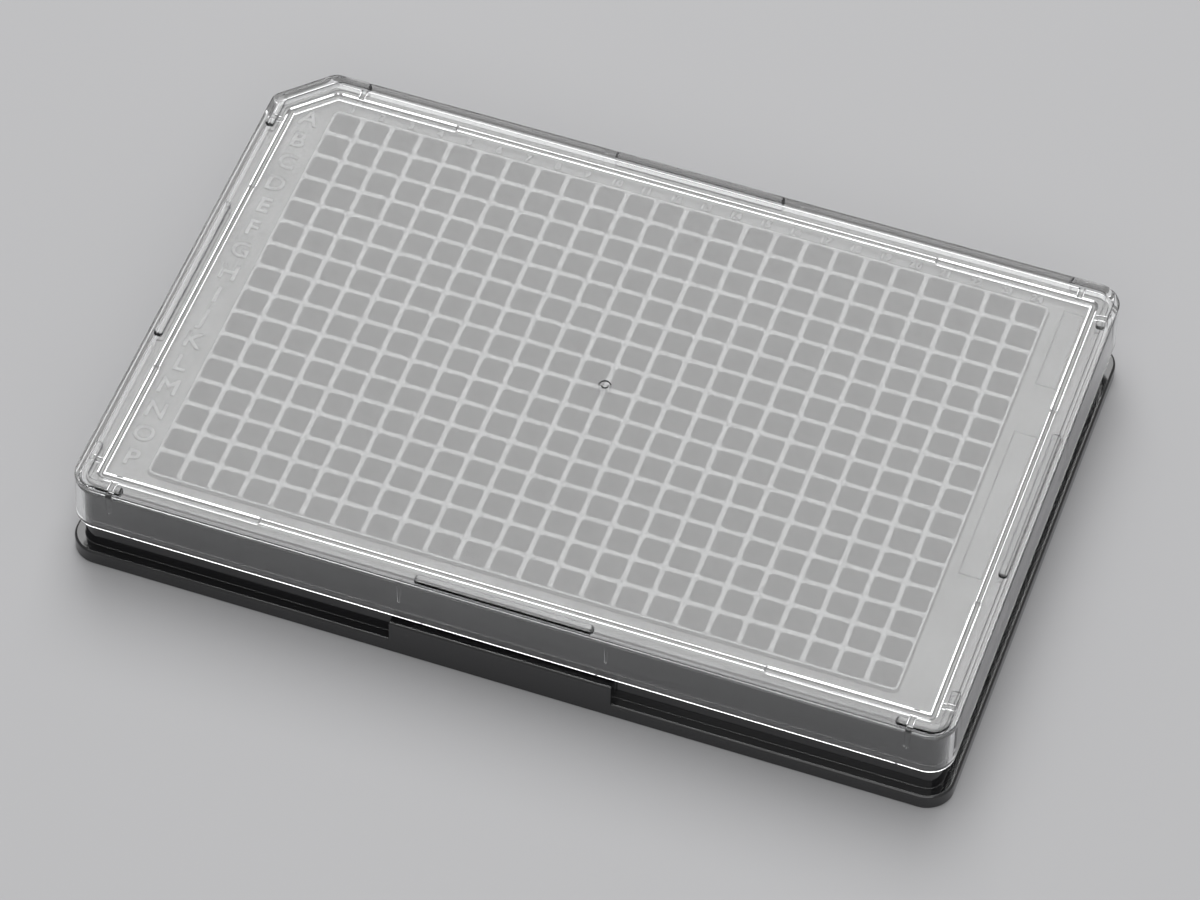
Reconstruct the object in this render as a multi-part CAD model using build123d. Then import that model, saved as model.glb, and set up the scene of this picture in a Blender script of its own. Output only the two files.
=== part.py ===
from build123d import *
import os
from math import atan, degrees, radians, tan

# A 384-well microplate with its lid on, in millimetres.
# Origin: bottom centre of the footprint. +X runs from column 1 to column 24, +Y towards row A, +Z up.
# Both mouldings have one cut-off corner, at well A1 (-X, +Y).

# Footprint and flange, to the microplate standard.
footprint_length = 127.76
footprint_width = 85.48
footprint_corner_radius = 4.0
flange_height = 2.41
flange_ledge = 1.54
flange_edge_bevel = 0.25
tall_flange_height = 6.10
tall_flange_setback = 47.8

# Outer wall and deck of the plate.
plate_height = 14.35
wall_thickness = 1.2
draft_angle = 1.2
wall_corner_radius = 2.4
wall_notch = 6.4
deck_thickness = 1.2
deck_edge_bevel = 0.25

# Wells. Each opening is a square with its corners cut, and narrows to a plain square floor.
columns = 24
rows = 16
pitch = 4.5
well_opening = 3.7
well_floor = 3.3
well_corner = 0.42
well_depth = 11.43
well_floor_thickness = 1.0
well_block_wall = 1.0
well_block_corner = 0.8

# The field of wells stands a little above the margin of the deck, with sloping sides.
field_rise = 0.55
field_land = 0.3
field_slope = 0.3
field_corner_radius = 0.8

# Lid: sheet, skirt and the gaps that it keeps to the plate.
sheet_thickness = 1.0
skirt_thickness = 1.0
skirt_gap = 0.3
skirt_to_flange = 1.2
field_gap = 0.2
lid_edge_bevel = 0.4
notch_edge_radius = 1.5

# Bearing rib under the sheet: it stands on the deck near the corners and leaves a vent between.
bearing_rib_width = 0.85
bearing_rib_from_end = 3.48
bearing_rib_from_side = 3.49
bearing_rib_notch = 5.2
vent_gap = 0.4
foot_extra_width = 0.25
foot_start_x = 36.2
foot_start_y = 17.85

# Ribs inside the skirt, which centre the lid on the plate's wall.
guide_rib_width = 0.95
guide_rib_clearance = 0.1
guide_rib_from_end = 5.98
guide_rib_from_side = 5.84
notch_rib_from_end = 12.03
notch_rib_from_side = 10.74
guide_rib_length = 1.85
middle_rib_x = 14.9
middle_rib_y = 14.0
middle_rib_width = 0.6
middle_rib_length = 3.15

# Stacking ridges on top of the sheet: one at each corner and one in the middle of each side.
ridge_height = 0.45
ridge_width = 1.3
ridge_from_end = 0.95
ridge_from_side = 0.4
ridge_corner_radius = 2.4
middle_ridge_half_x = 12.9
middle_ridge_half_y = 13.4
corner_ridge_from_end = 7.98
corner_ridge_from_side = 8.34
notch_ridge_from_end = 12.98
notch_ridge_from_side = 13.14

# Gate mark in the middle of the sheet: a shallow round dimple.
gate_radius = 0.9
gate_depth = 0.2

# Levels and sizes that follow from the values above.
deck_top = plate_height - field_rise
sheet_bottom = plate_height + field_gap
sheet_top = sheet_bottom + sheet_thickness
skirt_bottom = tall_flange_height + skirt_to_flange
vent_level = deck_top + vent_gap
wall_length = footprint_length - 2 * flange_ledge
wall_width = footprint_width - 2 * flange_ledge
wells_length = (columns - 1) * pitch
wells_width = (rows - 1) * pitch
lid_offset = skirt_gap + skirt_thickness
lid_top_length = wall_length + 2 * (lid_offset - sheet_top * tan(radians(draft_angle)))
lid_top_width = wall_width + 2 * (lid_offset - sheet_top * tan(radians(draft_angle)))
notch_per_offset = 2 - 2 ** 0.5
margin = 1.0


def outline(length, width, corner_radius, notch, notch_radius=0.0):
    """Plan outline with three rounded corners and the corner at -X, +Y cut off."""
    x, y = length / 2, width / 2
    points = [(x, y), (notch - x, y), (-x, y - notch), (-x, -y), (x, -y)]
    plan = make_face(Polyline(*points, close=True))
    if corner_radius > 0:
        square_corners = [v for v in plan.vertices() if abs(v.X) + abs(v.Y) > x + y - 0.01]
        plan = fillet(square_corners, corner_radius)
    if notch_radius > 0:
        notch_corners = [v for v in plan.vertices() if v.Y - v.X > x + y - notch - 0.01]
        plan = fillet(notch_corners, notch_radius)
    return plan


def wall_outline(offset, level, notch_radius=0.0):
    """Outline of the drafted outer wall at a level, moved outwards by an offset."""
    out = offset - level * tan(radians(draft_angle))
    return outline(
        wall_length + 2 * out,
        wall_width + 2 * out,
        wall_corner_radius + offset,
        wall_notch + notch_per_offset * out,
        notch_radius,
    )


def drafted(offset, bottom, top, notch_radius=0.0, bevel=0.0):
    """Solid between two levels inside the outer wall's drafted face, moved by an offset.

    The corners keep one radius all the way up. A bevel runs round the top edge if it is given.
    """
    shoulder = top - bevel
    foot = Pos(0, 0, bottom) * wall_outline(offset, bottom, notch_radius)
    rim = Pos(0, 0, shoulder) * wall_outline(offset, shoulder, notch_radius)
    solid = loft([foot, rim], ruled=True)
    if bevel > 0:
        crown = Pos(0, 0, top) * wall_outline(offset - bevel, shoulder, notch_radius)
        solid += loft([rim, crown], ruled=True)
    return solid


def slab(x_min, x_max, y_min, y_max, z_min, z_max):
    """Box between two corners."""
    size = (x_max - x_min, y_max - y_min, z_max - z_min)
    centre = ((x_min + x_max) / 2, (y_min + y_max) / 2, (z_min + z_max) / 2)
    return Pos(*centre) * Box(*size)


# ---- plate ----


def flange():
    """Low flange all round, with a taller stretch in the middle of each long side."""
    plan = RectangleRounded(footprint_length, footprint_width, footprint_corner_radius)
    low = extrude(plan, flange_height)
    low = chamfer(low.faces().sort_by(Axis.Z)[-1].edges(), flange_edge_bevel)
    half_tall = footprint_length / 2 - tall_flange_setback
    tall = Pos(0, 0, tall_flange_height / 2) * Box(2 * half_tall, footprint_width, tall_flange_height)
    tall = chamfer(tall.edges().filter_by(Axis.X).group_by(Axis.Z)[-1], flange_edge_bevel)
    return low + tall


def deck_shell():
    """Outer wall with the deck across its top, bevelled along the deck's edge."""
    return drafted(0, 0, deck_top, bevel=deck_edge_bevel)


def well_field():
    """Raised field that the wells open into, with sloping sides."""
    land = well_opening / 2 + field_land
    foot = Pos(0, 0, deck_top) * RectangleRounded(
        wells_length + 2 * (land + field_slope),
        wells_width + 2 * (land + field_slope),
        field_corner_radius + field_slope,
    )
    return extrude(foot, field_rise, dir=(0, 0, 1), taper=degrees(atan(field_slope / field_rise)))


def well_block():
    """Solid block under the deck that the wells are moulded in, with its four corners cut."""
    half = well_floor / 2 + well_block_wall
    bottom = plate_height - well_depth - well_floor_thickness
    plan = Rectangle(wells_length + 2 * half, wells_width + 2 * half)
    plan = chamfer(plan.vertices(), well_block_corner)
    return extrude(Pos(0, 0, bottom) * plan, deck_top - bottom, dir=(0, 0, 1))


def well():
    """One well's space: corners cut at the opening, narrowing to a square floor."""
    half, cut = well_opening / 2, well_corner
    mouth = [
        (half, half - cut),
        (half - cut, half),
        (cut - half, half),
        (-half, half - cut),
        (-half, cut - half),
        (cut - half, -half),
        (half - cut, -half),
        (half, cut - half),
    ]
    floor = well_floor / 2
    corners = [(floor, floor), (-floor, floor), (-floor, -floor), (floor, -floor)]
    top = [Vector(x, y, plate_height) for x, y in mouth]
    low = [Vector(x, y, plate_height - well_depth) for x, y in corners]
    faces = [Face(Wire.make_polygon(top)), Face(Wire.make_polygon(low))]
    for i in range(4):
        right, left, after = top[2 * i], top[2 * i + 1], top[(2 * i + 2) % 8]
        faces.append(Face(Wire.make_polygon([right, left, low[i]])))
        faces.append(Face(Wire.make_polygon([left, after, low[(i + 1) % 4], low[i]])))
    return Solid(Shell(faces))


def plate_body():
    """Plate in one moulding: flange, wall, deck, well block and 384 wells."""
    shell = flange() + deck_shell()
    shell -= drafted(-wall_thickness, 0, deck_top - deck_thickness)
    wells = GridLocations(pitch, pitch, columns, rows) * well()
    block = well_block() + well_field() - wells
    return shell - well_block() + block


# ---- lid ----


def lid_shell():
    """Sheet and skirt, with the sheet's outer edge bevelled."""
    shell = drafted(lid_offset, skirt_bottom, sheet_top, notch_edge_radius, lid_edge_bevel)
    return shell - drafted(skirt_gap, skirt_bottom, sheet_bottom, notch_edge_radius)


def rib_ring(width):
    """Band of the given width that runs round inside the lid's edge, on the bearing rib's line."""
    length = lid_top_length - 2 * bearing_rib_from_end
    breadth = lid_top_width - 2 * bearing_rib_from_side
    notch = bearing_rib_notch
    shift = notch_per_offset * width / 2
    outer = outline(length + width, breadth + width, 0, notch + shift)
    return outer - outline(length - width, breadth - width, 0, notch - shift)


def bearing_rib():
    """Rib round the sheet's underside, deeper near the corners, where it stands on the deck."""
    rib = Pos(0, 0, vent_level) * rib_ring(bearing_rib_width)
    feet = Pos(0, 0, deck_top) * rib_ring(bearing_rib_width + foot_extra_width)
    middle = Rectangle(2 * foot_start_x, footprint_width) + Rectangle(footprint_length, 2 * foot_start_y)
    feet -= Pos(0, 0, deck_top) * middle
    up = (0, 0, 1)
    return extrude(rib, sheet_bottom - vent_level, dir=up) + extrude(feet, sheet_bottom - deck_top, dir=up)


def guide_ribs():
    """Ribs that run from the bearing rib to the skirt and down its inside, two at each corner."""
    end, side = lid_top_length / 2, lid_top_width / 2
    x, y = end - guide_rib_from_end, side - guide_rib_from_side
    x_notch, y_notch = end - notch_rib_from_end, side - notch_rib_from_side
    x_in, y_in = end - bearing_rib_from_end, side - bearing_rib_from_side
    low, high, half = sheet_bottom - guide_rib_length, sheet_bottom, guide_rib_width / 2
    ribs = []
    for centre, sign in [(x, 1), (x, -1), (-x, -1), (-x_notch, 1)]:
        near, far = sorted([sign * y_in, sign * side])
        ribs.append(slab(centre - half, centre + half, near, far, low, high))
    for centre, sign in [(y, 1), (-y, 1), (-y, -1), (y_notch, -1)]:
        near, far = sorted([sign * x_in, sign * end])
        ribs.append(slab(near, far, centre - half, centre + half, low, high))
    return ribs


def middle_ribs():
    """Narrow ribs inside the skirt, two in the middle of each side."""
    level = sheet_bottom * tan(radians(draft_angle))
    x_in, y_in = wall_length / 2 - level, wall_width / 2 - level
    end, side = lid_top_length / 2, lid_top_width / 2
    low, high, half = sheet_bottom - middle_rib_length, sheet_bottom, middle_rib_width / 2
    ribs = []
    for a in (-1, 1):
        for b in (-1, 1):
            near, far = sorted([b * y_in, b * side])
            ribs.append(slab(a * middle_rib_x - half, a * middle_rib_x + half, near, far, low, high))
            near, far = sorted([b * x_in, b * end])
            ribs.append(slab(near, far, a * middle_rib_y - half, a * middle_rib_y + half, low, high))
    return ribs


def skirt_ribs():
    """All ribs beside the skirt, cut back to clear the plate and kept inside the lid."""
    room = drafted(lid_offset - skirt_thickness / 2, skirt_bottom, sheet_bottom)
    plate_space = drafted(guide_rib_clearance, 0, vent_level)
    return (Part() + guide_ribs() + middle_ribs() - plate_space) & room


def stacking_ridges():
    """Ridges on the sheet that locate a plate stacked on top."""
    end, side = lid_top_length / 2, lid_top_width / 2
    x, y = end - ridge_from_end, side - ridge_from_side
    notch = wall_notch + notch_per_offset * (lid_offset - ridge_from_side)
    shift = notch_per_offset * ridge_width
    outer = outline(2 * x, 2 * y, ridge_corner_radius, notch)
    inner = outline(
        2 * (x - ridge_width),
        2 * (y - ridge_width),
        ridge_corner_radius - ridge_width,
        notch - shift,
    )
    x_stop, y_stop = end - corner_ridge_from_end, side - corner_ridge_from_side
    x_notch, y_notch = end - notch_ridge_from_end, side - notch_ridge_from_side
    plan = outer - inner
    for sign_x, sign_y in [(1, 1), (1, -1), (-1, -1), (-1, 1)]:
        at_notch = sign_x < 0 < sign_y
        x_gap = sorted([sign_x * middle_ridge_half_x, sign_x * (x_notch if at_notch else x_stop)])
        y_gap = sorted([sign_y * middle_ridge_half_y, sign_y * (y_notch if at_notch else y_stop)])
        x_band = sorted([sign_x * (x - ridge_width - margin), sign_x * end])
        y_band = sorted([sign_y * (y - ridge_width - margin), sign_y * side])
        for across, along in [(x_gap, y_band), (x_band, y_gap)]:
            gap = Rectangle(across[1] - across[0], along[1] - along[0])
            plan -= Pos(sum(across) / 2, sum(along) / 2) * gap
    return extrude(Pos(0, 0, sheet_top) * plan, ridge_height, dir=(0, 0, 1))


def gate_mark():
    """Shallow round dimple that the gate leaves in the middle of the sheet."""
    return Pos(0, 0, sheet_top - gate_depth / 2) * Cylinder(gate_radius, gate_depth)


def lid():
    """Lid in one moulding: sheet, skirt, ribs, ridges and gate mark."""
    return lid_shell() + bearing_rib() + skirt_ribs() + stacking_ridges() - gate_mark()


os.makedirs("parts", exist_ok=True)
export_step(plate_body(), "parts/plate_body.step")
export_step(lid(), "parts/lid.step")
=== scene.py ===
import math

import bmesh
import bpy
from mathutils import Matrix, Vector


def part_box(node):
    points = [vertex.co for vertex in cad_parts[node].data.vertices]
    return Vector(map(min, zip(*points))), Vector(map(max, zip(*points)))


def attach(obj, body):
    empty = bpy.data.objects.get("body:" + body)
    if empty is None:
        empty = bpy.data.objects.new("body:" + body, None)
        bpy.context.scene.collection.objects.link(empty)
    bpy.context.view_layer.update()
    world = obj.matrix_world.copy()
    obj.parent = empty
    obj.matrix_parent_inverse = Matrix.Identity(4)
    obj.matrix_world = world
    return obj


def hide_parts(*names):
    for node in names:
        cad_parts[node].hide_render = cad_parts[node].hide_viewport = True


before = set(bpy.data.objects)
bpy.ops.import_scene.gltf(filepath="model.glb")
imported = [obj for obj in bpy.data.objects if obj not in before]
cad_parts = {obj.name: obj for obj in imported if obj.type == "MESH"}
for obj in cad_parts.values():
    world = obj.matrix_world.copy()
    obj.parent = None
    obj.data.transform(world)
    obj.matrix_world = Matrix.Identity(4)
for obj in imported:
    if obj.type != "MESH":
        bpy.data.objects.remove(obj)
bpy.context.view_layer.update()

# Looks of a black 384-well plate with its clear lid on. Blender works in metres, and the sizes of
# the part are written in millimetres.
MM = 0.001

# Camera, aimed at a point on the floor. Azimuths run from -Y towards +X. Angles in degrees,
# lengths in metres, lens and sensor in millimetres.
CAMERA_AIM = Vector((-0.00069, 0.00088, 0.0))
CAMERA_AZIMUTH = 17.90
CAMERA_ELEVATION = 50.73
CAMERA_ROLL = 1.93
CAMERA_DISTANCE = 0.7897
CAMERA_CLIP_END = 20
CAMERA_LENS = 167.6
CAMERA_SENSOR = 36

# Studio. The key softbox hangs high behind the plate, where the lid mirrors it into the camera.
# The fill softbox faces it from the camera's side. Sizes in metres, power in watts.
KEY_AZIMUTH = CAMERA_AZIMUTH + 180
KEY_ELEVATION = 68.0
KEY_DISTANCE = 1.1
KEY_SIZE = (0.75, 1.27)
KEY_POWER = 9.0
FILL_AZIMUTH = CAMERA_AZIMUTH
FILL_ELEVATION = 45.0
FILL_DISTANCE = 1.3
FILL_SIZE = (1.0, 0.8)
FILL_POWER = 3.0
WORLD_COLOUR = (1, 1, 1)
WORLD_STRENGTH = 0.33
FLOOR_SIZE = 6.0
FLOOR_COLOUR = (0.5, 0.5, 0.51)
FLOOR_ROUGHNESS = 0.6

# Black polystyrene. Its index is above the real one, 1.59, for a stronger shine. A finish is its
# range of roughness, then the scale and strength of its grain. A scale is about the number of
# cells to the metre.
BLACK = (0.011, 0.011, 0.012)
BLACK_IOR = 1.75
POLISHED = ((0.06, 0.12), 2500, 0.05)
ETCHED = ((0.36, 0.48), 6000, 0.15)
MATT = ((0.65, 0.8), 6000, 0.15)
PATCH_SCALE = 160
GRAIN_DEPTH = 0.02 * MM

# Clear polystyrene, and the noise that varies both.
CLEAR = (0.98, 0.985, 0.985)
CLEAR_IOR = 1.59
CLEAR_ROUGHNESS = (0.015, 0.045)
HAZE_SCALE = 90
NOISE_DETAIL = 3.0
NOISE_LOW = 0.3
NOISE_HIGH = 0.7

# Grid of wells, as in the part, but with rounded corners, lips and floor edges.
COLUMNS = 24
ROWS = 16
PITCH = 4.5 * MM
WELL_OPENING = 3.7 * MM
WELL_FLOOR = 3.3 * MM
WELL_DEPTH = 11.43 * MM
WELL_CORNER = 0.52 * MM
WELL_LIP = 0.07 * MM
WELL_FLOOR_FILLET = 0.3 * MM

# Raised field that the wells open into. Its land and slope are together as wide as the part's.
# The slope share is what lies below its rounded edge. The last two place the middle of a small
# arc, as shares of its radius.
FIELD_RISE = 0.55 * MM
FIELD_LAND = 0.42 * MM
FIELD_SLOPE = 0.18 * MM
FIELD_CORNER = 1.1 * MM
FIELD_EDGE = 0.07 * MM
SLOPE_SHARE = 0.9
ARC_IN = 0.3
ARC_DOWN = 0.25

# Lid. Its plan follows the plate's drafted outer wall, moved outwards, as in the part.
FLANGE_LEDGE = 1.54 * MM
WALL_CORNER = 2.4 * MM
WALL_NOTCH = 6.4 * MM
NOTCH_PER_OFFSET = 2 - math.sqrt(2)
NOTCH_RADIUS = 1.5 * MM
DRAFT = math.tan(math.radians(1.2))
SHEET = 1.0 * MM
SKIRT = 1.0 * MM
SKIRT_GAP = 0.3 * MM
FIELD_GAP = 0.2 * MM
LID_TOP_EDGE = 0.2 * MM
SKIRT_FOOT_EDGE = 0.45 * MM
SHEET_FILLET = 0.6 * MM

# Bearing rib under the sheet, and its deeper feet near the corners.
RIB_FROM_END = 3.48 * MM
RIB_FROM_SIDE = 3.49 * MM
RIB_NOTCH = 5.2 * MM
RIB_WIDTH = 0.85 * MM
RIB_EDGE = 0.34 * MM
RIB_CORNER = 0.62 * MM
VENT_GAP = 0.4 * MM
FOOT_WIDTH = 0.88 * MM
FOOT_EDGE = 0.33 * MM
FOOT_DRAFT = math.tan(math.radians(10))
FOOT_GAP = 0.02 * MM
FOOT_START_X = 36.2 * MM
FOOT_START_Y = 17.85 * MM

# Guide ribs near the corners, and narrow ribs in the middle. Inside the skirt they taper and reach
# lower than the part's, as the photo shows them. A tip is a width, and a length is measured from
# the sheet down.
GUIDE_RIB_WIDTH = 0.95 * MM
GUIDE_RIB_TIP = 0.7 * MM
GUIDE_RIB_LENGTH = 3.6 * MM
GUIDE_RIB_CLEARANCE = 0.1 * MM
GUIDE_RIB_EDGE = 0.28 * MM
GUIDE_RIB_FROM_END = 5.98 * MM
GUIDE_RIB_FROM_SIDE = 5.84 * MM
NOTCH_RIB_FROM_END = 12.03 * MM
NOTCH_RIB_FROM_SIDE = 10.74 * MM
MIDDLE_RIB_X = 14.9 * MM
MIDDLE_RIB_Y = 14.0 * MM
MIDDLE_RIB_TIP = 0.3 * MM
MIDDLE_RIB_LENGTH = 4.4 * MM
MIDDLE_RIB_EDGE = 0.12 * MM
SKIRT_RIB_NOSE = 0.1 * MM
SKIRT_RIB_DRAFT = 0.04

# Stacking ridges on top of the sheet, and the gate mark in its middle.
RIDGE_HEIGHT = 0.45 * MM
RIDGE_WIDTH = 1.3 * MM
RIDGE_EDGE = 0.12 * MM
RIDGE_NOSE = 0.6 * MM
RIDGE_FROM_END = 0.95 * MM
RIDGE_FROM_SIDE = 0.4 * MM
RIDGE_CORNER = 2.4 * MM
MIDDLE_RIDGE_HALF_X = 12.9 * MM
MIDDLE_RIDGE_HALF_Y = 13.4 * MM
CORNER_RIDGE_FROM_END = 7.98 * MM
CORNER_RIDGE_FROM_SIDE = 8.34 * MM
NOTCH_RIDGE_FROM_END = 12.98 * MM
NOTCH_RIDGE_FROM_SIDE = 13.14 * MM
GATE_RADIUS = 0.65 * MM
GATE_WIDTH = 0.5 * MM
GATE_DEPTH = 0.2 * MM
GATE_EDGE = 0.15 * MM

# Raised lettering and frames on the margin of the deck. A frame is its lowest and highest corner.
# The cap height is a share of the font's size.
RELIEF = 0.12 * MM
RELIEF_EDGE = 0.1 * MM
ROW_LETTER_X = -57.1 * MM
ROW_LETTER_DROP = 0.3 * MM
ROW_LETTER_HEIGHT = 2.9 * MM
COLUMN_NUMBER_Y = 37.3 * MM
COLUMN_NUMBER_HEIGHT = 1.3 * MM
CAP_HEIGHT = 0.73
FRAME_LINE = 0.22 * MM
LABEL_FRAMES = (
    ((55.9 * MM, 22.2 * MM), (59.0 * MM, 36.6 * MM)),
    ((55.6 * MM, -13.7 * MM), (59.1 * MM, 13.1 * MM)),
)

# Edge radius of the plate, and into how many steps curves are cut: an edge, a quarter turn of a
# well and of a section, a corner of a plan, and the edges and curves of letters.
PLATE_EDGE = 0.14 * MM
EDGE_STEPS = 3
WELL_STEPS = 4
SECTION_STEPS = 4
PLAN_STEPS = 12
LETTER_EDGE_STEPS = 1
LETTER_CURVE_STEPS = 3

# Edges sharper than the first angle are rounded, edges sharper than the second stay sharp in the
# shading, and faces that differ by less than the third become one.
SHARP_ANGLE = math.radians(24)
CREASE_ANGLE = math.radians(32)
FLAT_ANGLE = math.radians(0.6)

# Bevel profile of a round edge, the most of a bar's half width that its edge takes, how far up the
# normal of a level face points at least, and how strongly large faces set the shading.
ROUND_PROFILE = 0.5
MOST_EDGE = 0.9
UPWARD = 0.9
FLAT_WEIGHT = 100

# Points closer than the first are one, and levels closer than the second are the same.
MERGE_DISTANCE = 0.002 * MM
LEVEL_TOLERANCE = 0.01 * MM

# Levels and half sizes, from the frame. The wall's half sizes are at floor level.
plate_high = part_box("plate_body")[1]
PLATE_TOP = plate_high.z
DECK_TOP = PLATE_TOP - FIELD_RISE
WELL_BOTTOM = PLATE_TOP - WELL_DEPTH
FIELD_HALF_X = (COLUMNS - 1) * PITCH / 2 + WELL_OPENING / 2 + FIELD_LAND + FIELD_SLOPE
FIELD_HALF_Y = (ROWS - 1) * PITCH / 2 + WELL_OPENING / 2 + FIELD_LAND + FIELD_SLOPE
VENT_LEVEL = DECK_TOP + VENT_GAP
SHEET_BOTTOM = PLATE_TOP + FIELD_GAP
SHEET_TOP = SHEET_BOTTOM + SHEET
SHEET_MIDDLE = SHEET_BOTTOM + SHEET / 2
SKIRT_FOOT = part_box("lid")[0].z
LID_OFFSET = SKIRT_GAP + SKIRT
WALL_HALF_X = plate_high.x - FLANGE_LEDGE
WALL_HALF_Y = plate_high.y - FLANGE_LEDGE
LID_HALF_X = WALL_HALF_X + LID_OFFSET - SHEET_TOP * DRAFT
LID_HALF_Y = WALL_HALF_Y + LID_OFFSET - SHEET_TOP * DRAFT
RIB_HALF_X = LID_HALF_X - RIB_FROM_END
RIB_HALF_Y = LID_HALF_Y - RIB_FROM_SIDE


# ---- materials ----


def new_material(name, colour):
    """A material of this colour with a Principled shader, as (material, nodes, links, shader)."""
    material = bpy.data.materials.new(name)
    material.use_nodes = True
    nodes, links = material.node_tree.nodes, material.node_tree.links
    shader = nodes["Principled BSDF"]
    shader.inputs["Base Color"].default_value = (*colour, 1)
    return material, nodes, links, shader


def add_noise(nodes, links, scale):
    """Noise in the object's own space."""
    coordinates = nodes.new("ShaderNodeTexCoord")
    noise = nodes.new("ShaderNodeTexNoise")
    noise.inputs["Scale"].default_value = scale
    noise.inputs["Detail"].default_value = NOISE_DETAIL
    links.new(coordinates.outputs["Object"], noise.inputs["Vector"])
    return noise.outputs["Fac"]


def vary(nodes, links, value, low, high):
    """Spreads the middle of a noise value over the range from low to high."""
    spread = nodes.new("ShaderNodeMapRange")
    spread.inputs["From Min"].default_value = NOISE_LOW
    spread.inputs["From Max"].default_value = NOISE_HIGH
    spread.inputs["To Min"].default_value = low
    spread.inputs["To Max"].default_value = high
    links.new(value, spread.inputs["Value"])
    return spread.outputs["Result"]


def add_bump(nodes, links, shader, height, strength, distance):
    """Fine unevenness of the surface."""
    bump = nodes.new("ShaderNodeBump")
    bump.inputs["Strength"].default_value = strength
    bump.inputs["Distance"].default_value = distance
    links.new(height, bump.inputs["Height"])
    links.new(bump.outputs["Normal"], shader.inputs["Normal"])


def black_plastic(name, roughness, grain, grain_strength):
    """Black polystyrene in one of its finishes."""
    material, nodes, links, shader = new_material(name, BLACK)
    shader.inputs["IOR"].default_value = BLACK_IOR
    patches = add_noise(nodes, links, PATCH_SCALE)
    links.new(vary(nodes, links, patches, *roughness), shader.inputs["Roughness"])
    add_bump(nodes, links, shader, add_noise(nodes, links, grain), grain_strength, GRAIN_DEPTH)
    return material


def clear_plastic():
    """Clear polystyrene, polished, with the faintest haze in patches."""
    material, nodes, links, shader = new_material("clear_polystyrene", CLEAR)
    shader.inputs["IOR"].default_value = CLEAR_IOR
    shader.inputs["Transmission Weight"].default_value = 1.0
    haze = add_noise(nodes, links, HAZE_SCALE)
    links.new(vary(nodes, links, haze, *CLEAR_ROUGHNESS), shader.inputs["Roughness"])
    return material


def floor_material():
    """Plain pale floor."""
    material, nodes, links, shader = new_material("pale_floor", FLOOR_COLOUR)
    shader.inputs["Roughness"].default_value = FLOOR_ROUGHNESS
    return material


# ---- mesh helpers ----


def quarter_turn(steps):
    """Angles that cut a quarter turn into this many steps."""
    return [step / steps * math.pi / 2 for step in range(steps + 1)]


def neighbours(ring):
    """Pairs of neighbouring points round a closed ring."""
    return zip(ring, ring[1:] + ring[:1])


def join_rings(mesh, near, far):
    """Adds the faces between two rings that have the same number of points."""
    for (a, b), (c, d) in zip(neighbours(near), neighbours(far)):
        mesh.faces.new((a, c, d, b))


def cleaned(node):
    """Mesh of a CAD piece with its seams welded and its flat faces made whole."""
    mesh = bmesh.new()
    mesh.from_mesh(node.data)
    bmesh.ops.remove_doubles(mesh, verts=mesh.verts, dist=MERGE_DISTANCE)
    bmesh.ops.dissolve_limit(mesh, angle_limit=FLAT_ANGLE, verts=mesh.verts, edges=mesh.edges)
    return mesh


def round_edges(mesh, radius):
    """Rounds every sharp edge, inside and outside corners alike."""
    sharp = [e for e in mesh.edges if e.is_manifold and e.calc_face_angle() > SHARP_ANGLE]
    bmesh.ops.bevel(
        mesh,
        geom=sharp,
        offset=radius,
        offset_type="OFFSET",
        segments=EDGE_STEPS,
        profile=ROUND_PROFILE,
        affect="EDGES",
        clamp_overlap=True,
    )


def new_object(name, data):
    """Object of this data, linked to the scene."""
    made = bpy.data.objects.new(name, data)
    bpy.context.scene.collection.objects.link(made)
    return made


def finish_piece(mesh, name, materials, replaced=None):
    """Turns a mesh into a piece that rides on the plate, shaded smooth only on its curves."""
    data = bpy.data.meshes.new(name)
    for face in mesh.faces:
        face.smooth = True
    for edge in mesh.edges:
        edge.smooth = not edge.is_manifold or edge.calc_face_angle() < CREASE_ANGLE
    mesh.to_mesh(data)
    mesh.free()
    for material in materials:
        data.materials.append(material)
    piece = new_object(name, data)
    normals = piece.modifiers.new("flats", "WEIGHTED_NORMAL")
    normals.weight = FLAT_WEIGHT
    normals.keep_sharp = True
    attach(piece, "root")
    if replaced:
        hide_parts(replaced)


# ---- plate ----


def along_grid(place, count):
    """Where a column or row stands along its axis, with the grid centred on the origin."""
    return (place - (count - 1) / 2) * PITCH


def well_ring(half, corner):
    """Points round a square with rounded corners, anticlockwise, about its middle."""
    points = []
    middle = Vector((half - corner, half - corner))
    for quarter in range(4):
        for angle in quarter_turn(WELL_STEPS):
            point = middle + corner * Vector((math.cos(angle), math.sin(angle)))
            points.append(Matrix.Rotation(quarter * math.pi / 2, 2) @ point)
    return points


def well_profile():
    """Rings of a well from its mouth to its floor, as (half size, corner radius, level)."""
    mouth, floor = WELL_OPENING / 2, WELL_FLOOR / 2
    lean = WELL_LIP * (1 - math.sqrt(0.5))
    fillet = WELL_FLOOR_FILLET
    return (
        (mouth + WELL_LIP, WELL_CORNER + WELL_LIP, PLATE_TOP),
        (mouth + lean, WELL_CORNER + lean, PLATE_TOP - lean),
        (mouth, WELL_CORNER, PLATE_TOP - WELL_LIP),
        (floor, WELL_CORNER, WELL_BOTTOM + fillet),
        (floor - ARC_IN * fillet, WELL_CORNER, WELL_BOTTOM + ARC_IN * fillet),
        (floor - fillet, WELL_CORNER, WELL_BOTTOM),
    )


def add_well(mesh, x, y, profile):
    """Adds one well's walls and floor, and returns the edges of its mouth."""
    rings = []
    for points, level in profile:
        rings.append([mesh.verts.new((x + p.x, y + p.y, level)) for p in points])
    for upper, lower in zip(rings, rings[1:]):
        for (a, b), (c, d) in zip(neighbours(upper), neighbours(lower)):
            mesh.faces.new((a, b, d, c))
    mesh.faces.new(rings[-1])
    return [mesh.edges.get(pair) for pair in neighbours(rings[0])]


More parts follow.
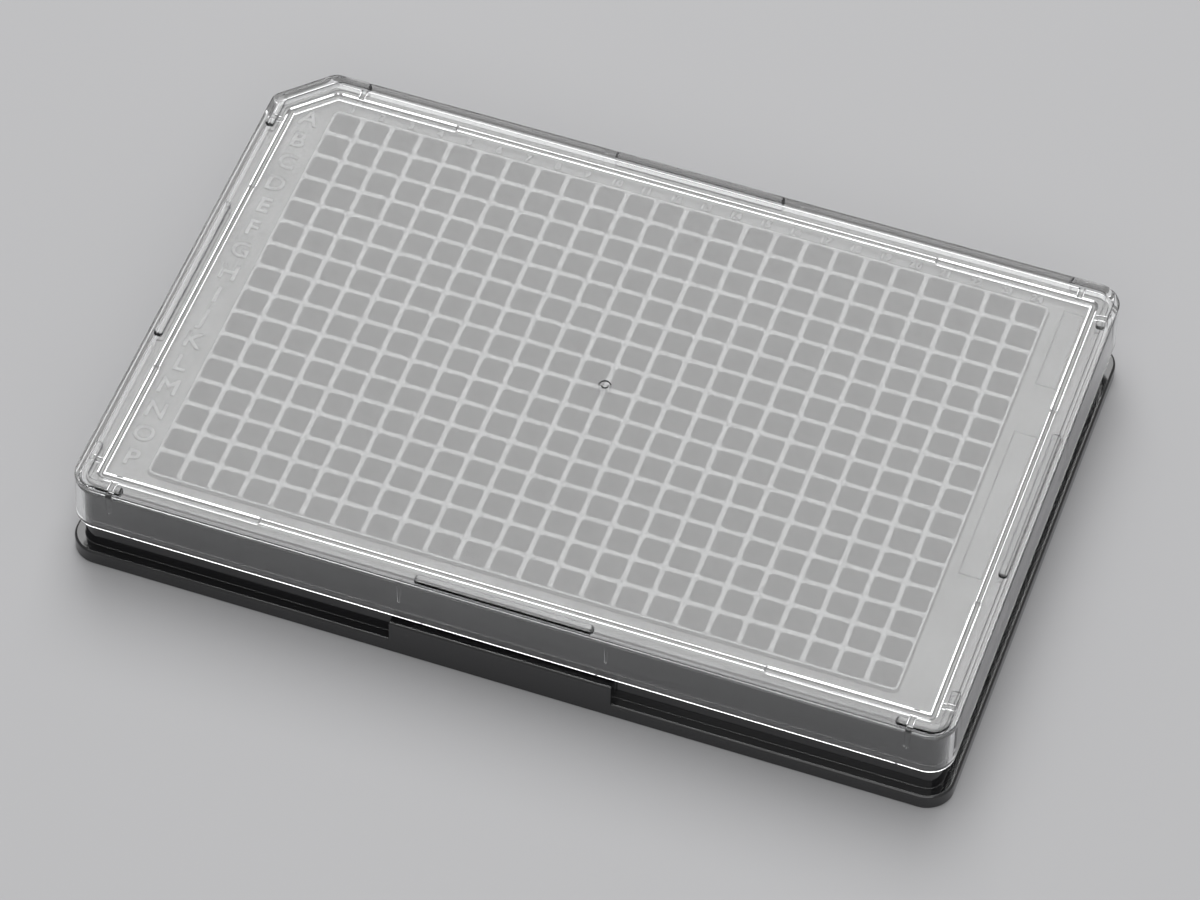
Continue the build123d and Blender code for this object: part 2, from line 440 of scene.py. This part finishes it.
def open_field(mesh):
    """Takes the CAD wells and field away, down to the open rim at the foot of the field."""
    reach_x, reach_y = FIELD_HALF_X + MERGE_DISTANCE, FIELD_HALF_Y + MERGE_DISTANCE
    lowest = WELL_BOTTOM - MERGE_DISTANCE

    def inside(vert):
        return abs(vert.co.x) < reach_x and abs(vert.co.y) < reach_y and vert.co.z > lowest

    field = [f for f in mesh.faces if all(inside(v) for v in f.verts)]
    bmesh.ops.delete(mesh, geom=field, context="FACES")


def raise_field(mesh):
    """Builds the sloping side of the field up from its rim, and returns the top edges."""
    middle_x, middle_y = FIELD_HALF_X - FIELD_CORNER, FIELD_HALF_Y - FIELD_CORNER
    edges = [e for e in mesh.edges if e.is_boundary]
    profile = (
        (SLOPE_SHARE * FIELD_SLOPE, PLATE_TOP - FIELD_EDGE),
        (FIELD_SLOPE + ARC_IN * FIELD_EDGE, PLATE_TOP - ARC_DOWN * FIELD_EDGE),
        (FIELD_SLOPE + FIELD_EDGE, PLATE_TOP),
    )
    for inset, level in profile:
        added = bmesh.ops.extrude_edge_only(mesh, edges=edges)["geom"]
        edges = [g for g in added if isinstance(g, bmesh.types.BMEdge)]
        for vert in (g for g in added if isinstance(g, bmesh.types.BMVert)):
            x, y = math.copysign(middle_x, vert.co.x), math.copysign(middle_y, vert.co.y)
            middle = Vector((x, y))
            out = (vert.co.xy - middle).normalized()
            vert.co.xy = middle + out * (FIELD_CORNER - inset)
            vert.co.z = level
    return edges


def make_plate(polished, etched, matt):
    """Black moulding: the CAD plate with rounded edges and its field of wells built afresh."""
    mesh = cleaned(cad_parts["plate_body"])
    open_field(mesh)
    round_edges(mesh, PLATE_EDGE)
    rim = raise_field(mesh)
    profile = [(well_ring(half, corner), level) for half, corner, level in well_profile()]
    for column in range(COLUMNS):
        for row in range(ROWS):
            rim += add_well(mesh, along_grid(column, COLUMNS), along_grid(row, ROWS), profile)
    bmesh.ops.triangle_fill(mesh, use_beauty=True, edges=rim)
    bmesh.ops.recalc_face_normals(mesh, faces=mesh.faces)
    materials = [polished, etched, matt]
    level_finishes = ((DECK_TOP, etched), (WELL_BOTTOM, matt))
    for face in mesh.faces:
        height = face.calc_center_median().z
        for level, finish in level_finishes:
            if face.normal.z > UPWARD and abs(height - level) < LEVEL_TOLERANCE:
                face.material_index = materials.index(finish)
    finish_piece(mesh, "plate_moulding", materials, "plate_body")


# ---- lettering and frames on the deck ----


def add_text(mesh, words, height, x, y):
    """Adds raised text of a given letter height, centred on a point of the deck."""
    curve = bpy.data.curves.new("text", "FONT")
    curve.body = words
    curve.size = height / CAP_HEIGHT
    curve.align_x = "CENTER"
    curve.align_y = "CENTER"
    curve.extrude = RELIEF
    curve.bevel_depth = RELIEF_EDGE
    curve.bevel_resolution = LETTER_EDGE_STEPS
    curve.resolution_u = LETTER_CURVE_STEPS
    holder = bpy.data.objects.new("text", curve)
    data = bpy.data.meshes.new_from_object(holder)
    data.transform(Matrix.Translation((x, y, DECK_TOP)))
    mesh.from_mesh(data)
    bpy.data.objects.remove(holder)
    bpy.data.curves.remove(curve)
    bpy.data.meshes.remove(data)


def make_lettering(material):
    """Row letters down the left margin and column numbers along the back one."""
    mesh = bmesh.new()
    for row in range(ROWS):
        y = -along_grid(row, ROWS) - ROW_LETTER_DROP
        add_text(mesh, chr(ord("A") + row), ROW_LETTER_HEIGHT, ROW_LETTER_X, y)
    for column in range(COLUMNS):
        x = along_grid(column, COLUMNS)
        add_text(mesh, str(column + 1), COLUMN_NUMBER_HEIGHT, x, COLUMN_NUMBER_Y)
    bmesh.ops.remove_doubles(mesh, verts=mesh.verts, dist=MERGE_DISTANCE)
    bmesh.ops.dissolve_degenerate(mesh, edges=mesh.edges, dist=MERGE_DISTANCE)
    finish_piece(mesh, "row_and_column_marks", [material])


def make_label_frames(material):
    """Thin raised outlines in the right margin, left empty."""
    mesh = bmesh.new()
    profile = (
        (0, 0),
        (RELIEF_EDGE, RELIEF),
        (FRAME_LINE - RELIEF_EDGE, RELIEF),
        (FRAME_LINE, 0),
    )
    for (x_low, y_low), (x_high, y_high) in LABEL_FRAMES:
        rings = []
        for inset, rise in profile:
            corners = (
                (x_low + inset, y_low + inset),
                (x_high - inset, y_low + inset),
                (x_high - inset, y_high - inset),
                (x_low + inset, y_high - inset),
            )
            rings.append([mesh.verts.new((x, y, DECK_TOP + rise)) for x, y in corners])
        for outer, inner in zip(rings, rings[1:] + rings[:1]):
            join_rings(mesh, outer, inner)
    bmesh.ops.recalc_face_normals(mesh, faces=mesh.faces)
    finish_piece(mesh, "label_frames", [material])


# ---- paths and sections of the lid ----


def plan_corners(half_x, half_y, notch):
    """Corners of the plan, anticlockwise, with the corner at -X, +Y cut off."""
    corners = (
        (half_x, half_y),
        (notch - half_x, half_y),
        (-half_x, half_y - notch),
        (-half_x, -half_y),
        (half_x, -half_y),
    )
    return [Vector(corner) for corner in corners]


def corner_paths(corners, x_stop, y_stop, x_notch, y_notch):
    """Paths round the corners of a plan, each from a stop on a long side to one on an end."""
    right_back, notch_back, notch_left, left_front, right_front = corners
    return (
        [Vector((x_stop, right_back.y)), right_back, Vector((right_back.x, y_stop))],
        [
            Vector((-x_notch, notch_back.y)),
            notch_back,
            notch_left,
            Vector((notch_left.x, y_notch)),
        ],
        [Vector((-x_stop, left_front.y)), left_front, Vector((left_front.x, -y_stop))],
        [Vector((x_stop, right_front.y)), right_front, Vector((right_front.x, -y_stop))],
    )


def corner_arc(before, corner, after, radius):
    """Points of the arc that rounds one corner of a path."""
    back, on = (before - corner).normalized(), (after - corner).normalized()
    half = back.angle(on) / 2
    middle = corner + (back + on).normalized() * (radius / math.sin(half))
    start = corner + back * (radius / math.tan(half)) - middle
    turn = math.copysign(math.pi - 2 * half, on.x * back.y - on.y * back.x)
    angles = [turn * step / PLAN_STEPS for step in range(PLAN_STEPS + 1)]
    return [middle + Matrix.Rotation(angle, 2) @ start for angle in angles]


def rounded(corners, radii, closed):
    """Points along a path whose inner corners are arcs of the given radii."""
    points = []
    count = len(corners)
    for i in range(count):
        if closed or 0 < i < count - 1:
            points += corner_arc(corners[i - 1], corners[i], corners[(i + 1) % count], radii[i])
        else:
            points.append(corners[i])
    return points


def section_arc(across, level, radius, start, end):
    """Quarter arc in a section, about a middle, from one direction to the next."""
    points = []
    for angle in quarter_turn(SECTION_STEPS):
        cos, sin = math.cos(angle), math.sin(angle)
        out, up = start[0] * cos + end[0] * sin, start[1] * cos + end[1] * sin
        points.append((across + radius * out, level + radius * up))
    return points


# ---- sheet and skirt ----


def shell_loop(mesh, inset, level):
    """Loop round the lid at a level, set in from the skirt's outer face."""
    out = LID_OFFSET - inset - level * DRAFT
    notch = WALL_NOTCH + NOTCH_PER_OFFSET * out
    corner = WALL_CORNER + LID_OFFSET - inset
    radii = (corner, NOTCH_RADIUS, NOTCH_RADIUS, corner, corner)
    points = rounded(plan_corners(WALL_HALF_X + out, WALL_HALF_Y + out, notch), radii, True)
    return [mesh.verts.new((p.x, p.y, level)) for p in points]


def shell_section():
    """Section of sheet and skirt, as (inset, level), from the top round the foot to the fillet."""
    top, foot, fillet = LID_TOP_EDGE, SKIRT_FOOT_EDGE, SHEET_FILLET
    outwards, inwards, up, down = (-1, 0), (1, 0), (0, 1), (0, -1)
    return [
        *section_arc(top, SHEET_TOP - top, top, up, outwards),
        *section_arc(foot, SKIRT_FOOT + foot, foot, outwards, down),
        *section_arc(SKIRT - foot, SKIRT_FOOT + foot, foot, down, inwards),
        *section_arc(SKIRT + fillet, SHEET_BOTTOM - fillet, fillet, outwards, up),
    ]


def add_shell(mesh):
    """Adds sheet and skirt."""
    loops = [shell_loop(mesh, inset, level) for inset, level in shell_section()]
    for upper, lower in zip(loops, loops[1:]):
        join_rings(mesh, upper, lower)
    mesh.faces.new(loops[0])
    mesh.faces.new(loops[-1])


# ---- bars: ribs, ridges and the gate's groove ----


def bar_section(half, root, tip, edge, draft, inset):
    """Section of a bar, as (across, level), from its root over its tip and back.

    It is this half width at its tip, which is rounded, and the draft widens it towards its root.
    The inset brings its sides and tip in.
    """
    way = math.copysign(1, tip - root)
    half -= inset
    tip -= way * inset
    edge = min(edge, MOST_EDGE * half)
    left = [(-half, root), *section_arc(edge - half, tip - way * edge, edge, (-1, 0), (0, way))]
    left = [(across - draft * abs(level - tip), level) for across, level in left]
    right = [(-across, level) for across, level in reversed(left)]
    return [*left, *right]


def across_path(points, i, closed):
    """Direction across a path at one of its points, lengthened where the path turns."""
    count = len(points)
    ways = []
    if closed or i > 0:
        ways.append((points[i] - points[i - 1]).normalized())
    if closed or i < count - 1:
        ways.append((points[(i + 1) % count] - points[i]).normalized())
    way = sum(ways, Vector((0, 0))).normalized()
    return Vector((-way.y, way.x)) / way.dot(ways[0])


def add_noses(points, stations, nose):
    """Puts a row of stations at both ends of a path, where the bar narrows to a round nose."""
    steps = []
    for angle in quarter_turn(SECTION_STEPS)[:-1]:
        steps.append((nose * (1 - math.cos(angle)), nose * (1 - math.sin(angle))))
    steps.append((nose, 0.0))
    noses = []
    for end, near in ((0, 1), (-1, -2)):
        way, across = (points[near] - points[end]).normalized(), stations[end][1]
        noses.append([(points[end] + way * along, across, inset) for along, inset in steps])
    head, tail = noses
    return [*head, *stations[1:-1], *reversed(tail)]


def add_bar(mesh, points, width, root, tip, edge, nose=0.0, draft=0.0, closed=False):
    """Adds a bar along a path, from its root's level to its tip's and of this width at its tip."""
    stations = [(p, across_path(points, i, closed), 0.0) for i, p in enumerate(points)]
    if nose > 0:
        stations = add_noses(points, stations, nose)
    rings = []
    for point, across, inset in stations:
        section = bar_section(width / 2, root, tip, edge, draft, inset)
        rings.append([mesh.verts.new((*(point + across * u), level)) for u, level in section])
    if not closed:
        mesh.faces.new(rings[0])
        mesh.faces.new(rings[-1])
    for near, far in zip(rings, rings[1:]):
        join_rings(mesh, near, far)
    if closed:
        join_rings(mesh, rings[-1], rings[0])


def add_bearing_rib(mesh):
    """Rib that runs round the sheet's underside, with its deeper feet near the corners."""
    corners = plan_corners(RIB_HALF_X, RIB_HALF_Y, RIB_NOTCH)
    line = rounded(corners, [RIB_CORNER] * len(corners), True)
    add_bar(mesh, line, RIB_WIDTH, SHEET_MIDDLE, VENT_LEVEL, RIB_EDGE, closed=True)
    foot_level = DECK_TOP + FOOT_GAP
    for path in corner_paths(corners, FOOT_START_X, FOOT_START_Y, FOOT_START_X, FOOT_START_Y):
        line = rounded(path, [RIB_CORNER] * len(path), False)
        add_bar(mesh, line, FOOT_WIDTH, SHEET_MIDDLE, foot_level, FOOT_EDGE, FOOT_EDGE, FOOT_DRAFT)


def add_skirt_rib(mesh, out, place, width, length, edge):
    """Rib down the skirt's inside, on the side that lies out this way, at a place along it."""
    low = SHEET_BOTTOM - length
    wall = (WALL_HALF_X if out.x else WALL_HALF_Y) - low * DRAFT
    near, far = wall + GUIDE_RIB_CLEARANCE, wall + SKIRT_GAP + SKIRT / 2
    path = [place + out * near, place + out * far]
    add_bar(mesh, path, width, SHEET_MIDDLE, low, edge, SKIRT_RIB_NOSE, SKIRT_RIB_DRAFT)


def add_guide_rib(mesh, out, place):
    """Rib from the bearing rib to the skirt and down its inside."""
    bearing, lid = (RIB_HALF_X, LID_HALF_X) if out.x else (RIB_HALF_Y, LID_HALF_Y)
    path = [place + out * bearing, place + out * (lid - SKIRT / 2)]
    add_bar(mesh, path, GUIDE_RIB_WIDTH, SHEET_MIDDLE, VENT_LEVEL, GUIDE_RIB_EDGE)
    add_skirt_rib(mesh, out, place, GUIDE_RIB_TIP, GUIDE_RIB_LENGTH, GUIDE_RIB_EDGE)


def add_side_ribs(mesh):
    """Two guide ribs at each corner, and two narrow ribs in the middle of each side."""
    x, y = LID_HALF_X - GUIDE_RIB_FROM_END, LID_HALF_Y - GUIDE_RIB_FROM_SIDE
    x_notch, y_notch = LID_HALF_X - NOTCH_RIB_FROM_END, LID_HALF_Y - NOTCH_RIB_FROM_SIDE
    for along, side in ((x, 1), (x, -1), (-x, -1), (-x_notch, 1)):
        add_guide_rib(mesh, Vector((0, side)), Vector((along, 0)))
    for along, side in ((y, 1), (-y, 1), (-y, -1), (y_notch, -1)):
        add_guide_rib(mesh, Vector((side, 0)), Vector((0, along)))
    narrow = MIDDLE_RIB_TIP, MIDDLE_RIB_LENGTH, MIDDLE_RIB_EDGE
    for side in (-1, 1):
        for half in (-1, 1):
            add_skirt_rib(mesh, Vector((0, side)), Vector((half * MIDDLE_RIB_X, 0)), *narrow)
            add_skirt_rib(mesh, Vector((side, 0)), Vector((0, half * MIDDLE_RIB_Y)), *narrow)


def add_ridges(mesh):
    """Stacking ridges: one round each corner, and one in the middle of each side."""
    half = RIDGE_WIDTH / 2
    x, y = LID_HALF_X - RIDGE_FROM_END - half, LID_HALF_Y - RIDGE_FROM_SIDE - half
    notch = WALL_NOTCH + NOTCH_PER_OFFSET * (LID_OFFSET - RIDGE_FROM_SIDE - half)
    stops = (
        LID_HALF_X - CORNER_RIDGE_FROM_END,
        LID_HALF_Y - CORNER_RIDGE_FROM_SIDE,
        LID_HALF_X - NOTCH_RIDGE_FROM_END,
        LID_HALF_Y - NOTCH_RIDGE_FROM_SIDE,
    )
    lines = []
    for path in corner_paths(plan_corners(x, y, notch), *stops):
        lines.append(rounded(path, [RIDGE_CORNER - half] * len(path), False))
    along_x, along_y = Vector((MIDDLE_RIDGE_HALF_X, 0)), Vector((0, MIDDLE_RIDGE_HALF_Y))
    for side in (-1, 1):
        for middle, along in ((Vector((0, side * y)), along_x), (Vector((side * x, 0)), along_y)):
            lines.append([middle - along, middle + along])
    tip = SHEET_TOP + RIDGE_HEIGHT
    for line in lines:
        add_bar(mesh, line, RIDGE_WIDTH, SHEET_MIDDLE, tip, RIDGE_EDGE, RIDGE_NOSE)


def add_bars(mesh):
    """All ribs and ridges."""
    add_bearing_rib(mesh)
    add_side_ribs(mesh)
    add_ridges(mesh)


def add_gate(mesh):
    """Round groove that the gate mark leaves."""
    circle = []
    for quarter in range(4):
        for angle in quarter_turn(SECTION_STEPS)[:-1]:
            turn = Matrix.Rotation(angle + quarter * math.pi / 2, 2)
            circle.append(turn @ Vector((GATE_RADIUS, 0)))
    high, low = SHEET_TOP + GATE_DEPTH, SHEET_TOP - GATE_DEPTH
    add_bar(mesh, circle, GATE_WIDTH, high, low, GATE_EDGE, closed=True)


# ---- lid ----


def solid_object(build, name):
    """Object of a mesh that a function builds, with its faces turned outwards."""
    mesh = bmesh.new()
    build(mesh)
    bmesh.ops.recalc_face_normals(mesh, faces=mesh.faces)
    data = bpy.data.meshes.new(name)
    mesh.to_mesh(data)
    mesh.free()
    return new_object(name, data)


def make_lid(material):
    """Clear moulding: sheet and skirt, with the ribs and ridges joined on and the gate cut in."""
    shell = solid_object(add_shell, "lid_shell")
    tools = {
        "UNION": solid_object(add_bars, "lid_bars"),
        "DIFFERENCE": solid_object(add_gate, "lid_gate"),
    }
    for operation, tool in tools.items():
        cut = shell.modifiers.new(operation, "BOOLEAN")
        cut.operation = operation
        cut.solver = "EXACT"
        cut.use_self = operation == "UNION"
        cut.object = tool
    made = shell.evaluated_get(bpy.context.evaluated_depsgraph_get())
    mesh = bmesh.new()
    mesh.from_mesh(made.to_mesh())
    made.to_mesh_clear()
    for spent in (shell, *tools.values()):
        bpy.data.objects.remove(spent)
    bmesh.ops.remove_doubles(mesh, verts=mesh.verts, dist=MERGE_DISTANCE)
    finish_piece(mesh, "lid_moulding", [material], "lid")


# ---- studio ----


def make_floor():
    """Level floor under the plate, far wider than the view."""
    half = FLOOR_SIZE / 2
    mesh = bpy.data.meshes.new("floor")
    corners = [(-half, -half, 0), (half, -half, 0), (half, half, 0), (-half, half, 0)]
    mesh.from_pydata(corners, [], [(0, 1, 2, 3)])
    mesh.materials.append(floor_material())
    floor = new_object("floor", mesh)


def away_from_plate(azimuth, elevation):
    """Unit vector that points away from the plate at an azimuth and elevation in degrees."""
    azimuth, elevation = math.radians(azimuth), math.radians(elevation)
    level = math.cos(elevation)
    return Vector((math.sin(azimuth) * level, -math.cos(azimuth) * level, math.sin(elevation)))


def make_camera():
    """Camera on its aim, rolled about its line of sight."""
    forward = -away_from_plate(CAMERA_AZIMUTH, CAMERA_ELEVATION)
    level_right = forward.cross(Vector((0, 0, 1))).normalized()
    level_up = level_right.cross(forward)
    roll = math.radians(CAMERA_ROLL)
    right = math.cos(roll) * level_right + math.sin(roll) * level_up
    up = right.cross(forward)
    data = bpy.data.cameras.new("camera")
    data.lens = CAMERA_LENS
    data.sensor_width = CAMERA_SENSOR
    data.clip_end = CAMERA_CLIP_END
    camera = new_object("camera", data)
    turn = Matrix((right, up, -forward)).transposed().to_4x4()
    camera.matrix_world = Matrix.Translation(CAMERA_AIM - forward * CAMERA_DISTANCE) @ turn
    bpy.context.scene.camera = camera


def make_softbox(name, azimuth, elevation, distance, size, power):
    """Softbox that faces the plate."""
    away = away_from_plate(azimuth, elevation)
    data = bpy.data.lights.new(name, "AREA")
    data.shape = "RECTANGLE"
    data.size, data.size_y = size
    data.energy = power
    lamp = new_object(name, data)
    lamp.location = CAMERA_AIM + away * distance
    lamp.rotation_mode = "QUATERNION"
    lamp.rotation_quaternion = away.to_track_quat("Z", "Y")


def make_world():
    """Even white light from all round."""
    world = bpy.data.worlds.new("studio")
    world.use_nodes = True
    bpy.context.scene.world = world
    background = world.node_tree.nodes["Background"]
    background.inputs["Color"].default_value = (*WORLD_COLOUR, 1)
    background.inputs["Strength"].default_value = WORLD_STRENGTH


bpy.context.scene.view_settings.view_transform = "Standard"

polished_black = black_plastic("black_polystyrene", *POLISHED)
etched_black = black_plastic("black_polystyrene_etched", *ETCHED)
matt_black = black_plastic("black_polystyrene_matt", *MATT)
make_plate(polished_black, etched_black, matt_black)
make_lettering(polished_black)
make_label_frames(polished_black)
make_lid(clear_plastic())

make_floor()
make_world()
make_softbox("key_softbox", KEY_AZIMUTH, KEY_ELEVATION, KEY_DISTANCE, KEY_SIZE, KEY_POWER)
make_softbox("fill_softbox", FILL_AZIMUTH, FILL_ELEVATION, FILL_DISTANCE, FILL_SIZE, FILL_POWER)
make_camera()
